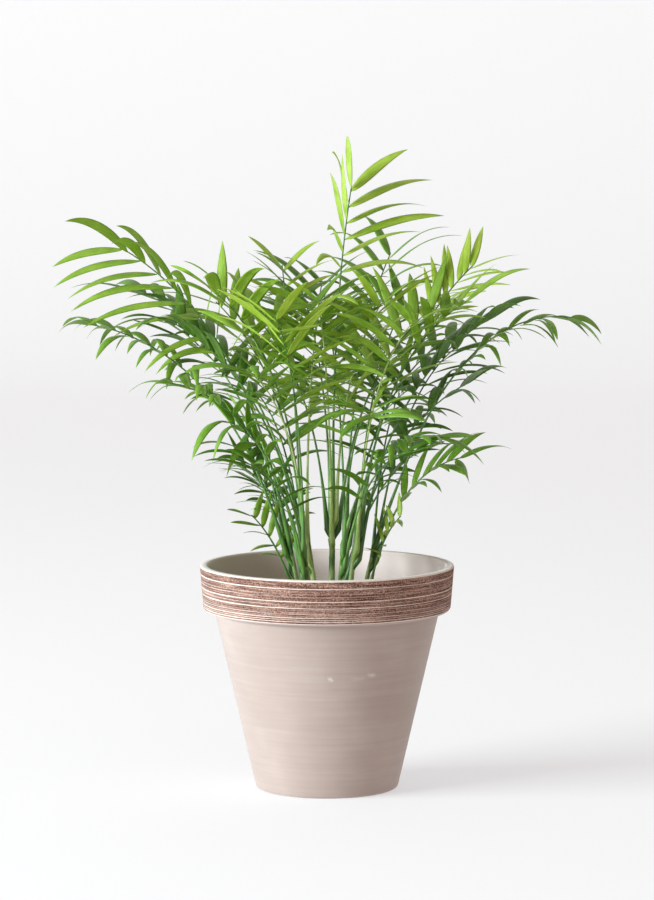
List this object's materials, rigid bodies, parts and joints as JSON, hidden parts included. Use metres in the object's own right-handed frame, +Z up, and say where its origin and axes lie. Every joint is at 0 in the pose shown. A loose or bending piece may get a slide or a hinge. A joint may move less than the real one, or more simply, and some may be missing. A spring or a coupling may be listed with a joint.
{
  "type": "potted parlour palm",
  "caption": "Clump of a parlour palm in its clay pot: short canes in potting soil, with feathered fronds that arch up and outwards on every side.",
  "frame": {"origin": "middle of the pot's flat underside", "axes": "+Z up along the pot's axis; -Y faces the viewer of the picture, +X to the viewer's right"},
  "size_m": [0.5122, 0.4068, 0.614],
  "materials": {
    "clay": "rough unglazed earthenware",
    "potting_soil": "loose, matt",
    "cane": "satin",
    "leaf": "satin"
  },
  "bodies": {
    "root": {"cane_back_left": "cane", "cane_back_right": "cane", "cane_centre": "cane", "cane_front_left": "cane", "cane_front_right": "cane", "cane_left_inner": "cane", "cane_left_outer": "cane", "cane_right_inner": "cane", "cane_right_outer": "cane", "frond_back_far": "leaf", "frond_back_low": "leaf", "frond_back_mid": "leaf", "frond_back_right_low": "leaf", "frond_back_right_tall": "leaf", "frond_back_small_left": "leaf", "frond_back_small_right": "leaf", "frond_back_thin": "leaf", "frond_centre_back": "leaf", "frond_centre_front": "leaf", "frond_centre_left": "leaf", "frond_centre_right": "leaf", "frond_front_centre": "leaf", "frond_front_drop": "leaf", "frond_front_high": "leaf", "frond_front_left_mid": "leaf", "frond_front_left_tall": "leaf", "frond_front_low_left": "leaf", "frond_front_low_right": "leaf", "frond_front_right_tall": "leaf", "frond_left_arch": "leaf", "frond_left_back": "leaf", "frond_left_far_back": "leaf", "frond_left_inner_up": "leaf", "frond_left_long": "leaf", "frond_left_low": "leaf", "frond_left_mid": "leaf", "frond_left_mid_low": "leaf", "frond_left_outer_low": "leaf", "frond_left_small": "leaf", "frond_left_tall": "leaf", "frond_left_wisp": "leaf", "frond_right_arch": "leaf", "frond_right_back": "leaf", "frond_right_droop": "leaf", "frond_right_inner_up": "leaf", "frond_right_long": "leaf", "frond_right_low": "leaf", "frond_right_mid": "leaf", "frond_right_outer_mid": "leaf", "frond_right_small": "leaf", "frond_right_spray": "leaf", "frond_right_tall": "leaf", "frond_top": "leaf", "pot": "clay", "soil": "potting_soil"}
  },
  "joints": []
}
